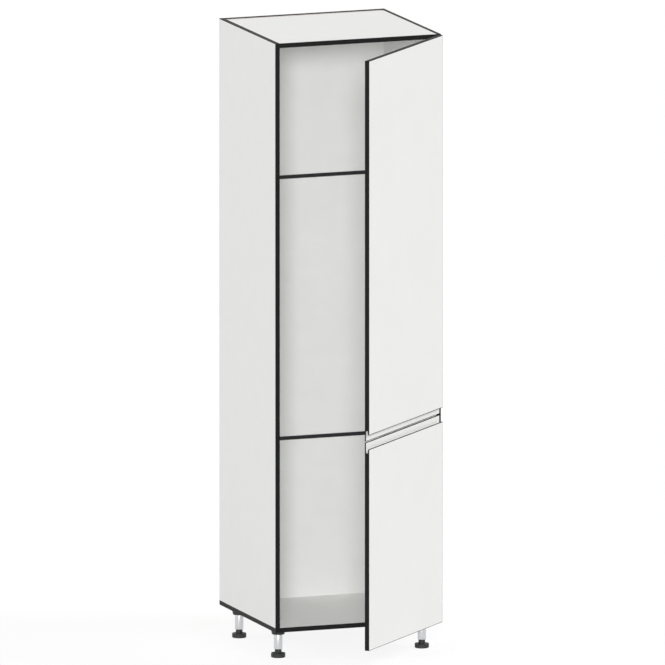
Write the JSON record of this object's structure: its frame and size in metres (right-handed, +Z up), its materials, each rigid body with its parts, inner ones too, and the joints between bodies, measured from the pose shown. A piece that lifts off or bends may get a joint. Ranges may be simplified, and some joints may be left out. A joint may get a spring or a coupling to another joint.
{
  "type": "kitchen cabinet",
  "caption": "Tall kitchen cabinet on adjustable feet, with an upper and a lower door on concealed cup hinges, opened by grips milled along the edges where the doors meet",
  "frame": {"origin": "on the floor, under the centre of the carcass in width and depth", "axes": "+Z is up, -Y points out of the open front, +X is the side the doors are hung on"},
  "size_m": [0.6011, 0.9988, 2.136],
  "materials": {
    "carcass_board": "chipboard faced with matt white melamine foil",
    "door_leaf": "MDF in satin white lacquer",
    "edge_band": "black ABS edge band, fine grain",
    "back_sheet": "hardboard, white lacquered inside and raw brown outside",
    "joint_strip": "black PVC profile",
    "hinge_steel": "nickel-plated pressed steel",
    "screw_steel": "zinc-plated steel",
    "cam_zinc": "bare zinc die casting",
    "beech": "fluted raw beech",
    "leg_plastic": "black moulded polypropylene",
    "leg_tube": "satin anodised aluminium",
    "clear_buffer": "clear soft polyurethane"
  },
  "bodies": {
    "carcass": {"left_side_panel": "carcass_board", "left_side_edging": "edge_band", "right_side_panel": "carcass_board", "right_side_edging": "edge_band", "bottom_panel": "carcass_board", "bottom_edging": "edge_band", "top_panel": "carcass_board", "top_edging": "edge_band", "top_rail": "carcass_board", "top_rail_edging": "edge_band", "lower_back_sheet": "back_sheet", "middle_back_sheet": "back_sheet", "upper_back_sheet": "back_sheet", "lower_back_joint_strip": "joint_strip", "upper_back_joint_strip": "joint_strip", "confirmat_screws": "screw_steel", "wood_dowels": "beech", "cam_locks": "cam_zinc", "cam_bolts": "screw_steel", "leg_sockets": "leg_plastic", "leg_tubes": "leg_tube", "leg_screws": "screw_steel", "hinge_arms": "hinge_steel", "arm_pins": "screw_steel", "hinge_plates": "hinge_steel", "hinge_plate_screws": "screw_steel", "clamp_screws": "screw_steel"},
    "upper_outer_links": {"upper_outer_links": "hinge_steel"},
    "lower_outer_links": {"lower_outer_links": "hinge_steel"},
    "upper_door": {"upper_door_panel": "door_leaf", "upper_door_edging": "edge_band", "upper_door_buffers": "clear_buffer", "upper_hinge_cups": "hinge_steel", "upper_cup_screws": "screw_steel", "upper_cup_pins": "screw_steel"},
    "lower_door": {"lower_door_panel": "door_leaf", "lower_door_edging": "edge_band", "lower_door_buffers": "clear_buffer", "lower_hinge_cups": "hinge_steel", "lower_cup_screws": "screw_steel", "lower_cup_pins": "screw_steel"},
    "front_left_foot": {"front_left_foot": "leg_plastic"},
    "back_left_foot": {"back_left_foot": "leg_plastic"},
    "front_right_foot": {"front_right_foot": "leg_plastic"},
    "back_right_foot": {"back_right_foot": "leg_plastic"}
  },
  "joints": [
    {"name": "upper_outer_link_turn", "type": "hinge", "parent": "carcass", "child": "upper_outer_links", "pos_m": [0.269, -0.28, 1.449], "axis": [0, 0, 1], "range_deg": [-15, 13.5]},
    {"name": "upper_door_turn", "type": "hinge", "parent": "upper_outer_links", "child": "upper_door", "pos_m": [0.2869, -0.29283, 1.449], "axis": [0, 0, 1], "range_deg": [-58.5, 65]},
    {"name": "lower_outer_link_turn", "type": "hinge", "parent": "carcass", "child": "lower_outer_links", "pos_m": [0.269, -0.28, 0.451], "axis": [0, 0, 1], "range_deg": [-15, 13.5]},
    {"name": "lower_door_turn", "type": "hinge", "parent": "lower_outer_links", "child": "lower_door", "pos_m": [0.2869, -0.29283, 0.451], "axis": [0, 0, 1], "range_deg": [-58.5, 65]},
    {"name": "front_left_foot_adjust", "type": "slide", "parent": "carcass", "child": "front_left_foot", "axis": [0, 0, -1], "range_m": [-0.01, 0.02]},
    {"name": "back_left_foot_adjust", "type": "slide", "parent": "carcass", "child": "back_left_foot", "axis": [0, 0, -1], "range_m": [-0.01, 0.02]},
    {"name": "front_right_foot_adjust", "type": "slide", "parent": "carcass", "child": "front_right_foot", "axis": [0, 0, -1], "range_m": [-0.01, 0.02]},
    {"name": "back_right_foot_adjust", "type": "slide", "parent": "carcass", "child": "back_right_foot", "axis": [0, 0, -1], "range_m": [-0.01, 0.02]}
  ],
  "couplings": [
    {"joint": "upper_outer_link_turn", "follows": "upper_door_turn", "ratio": -0.23077},
    {"joint": "lower_outer_link_turn", "follows": "lower_door_turn", "ratio": -0.23077}
  ]
}
